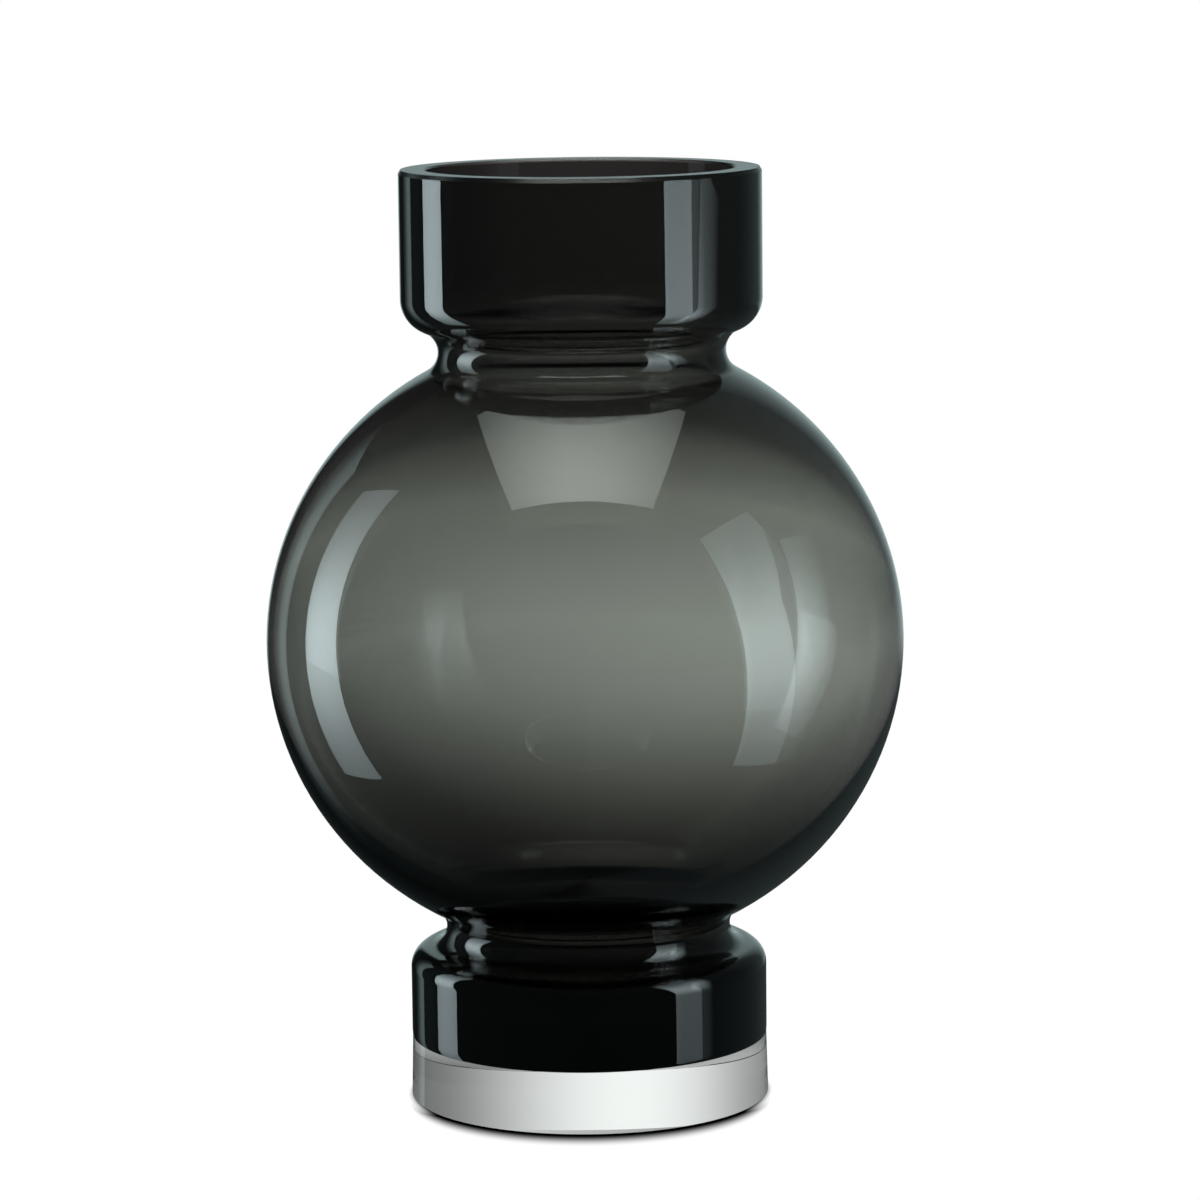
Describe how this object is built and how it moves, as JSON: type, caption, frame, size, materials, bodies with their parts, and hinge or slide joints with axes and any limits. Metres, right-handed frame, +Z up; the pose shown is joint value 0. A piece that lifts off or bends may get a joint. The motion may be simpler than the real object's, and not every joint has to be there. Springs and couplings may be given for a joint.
{
  "type": "globe vase",
  "caption": "Smoked glass globe vase with an open cylinder collar and a cylinder foot, fused onto a clear glass base, for cut flowers in water.",
  "frame": {"origin": "centre of the underside of the clear base, on the face that the vase stands on", "axes": "+Z up, along the axis that the vase is turned about; X and Y are free, because the vase is round"},
  "size_m": [0.1672, 0.1672, 0.2451],
  "materials": {
    "clear_glass": "clear glass, fire-polished side and ground flat underside",
    "smoked_glass": "smoked grey glass coloured in the mass, fire-polished, with a ground and polished rim"
  },
  "bodies": {
    "root": {"clear_base": "clear_glass", "smoked_vessel": "smoked_glass"}
  },
  "joints": []
}
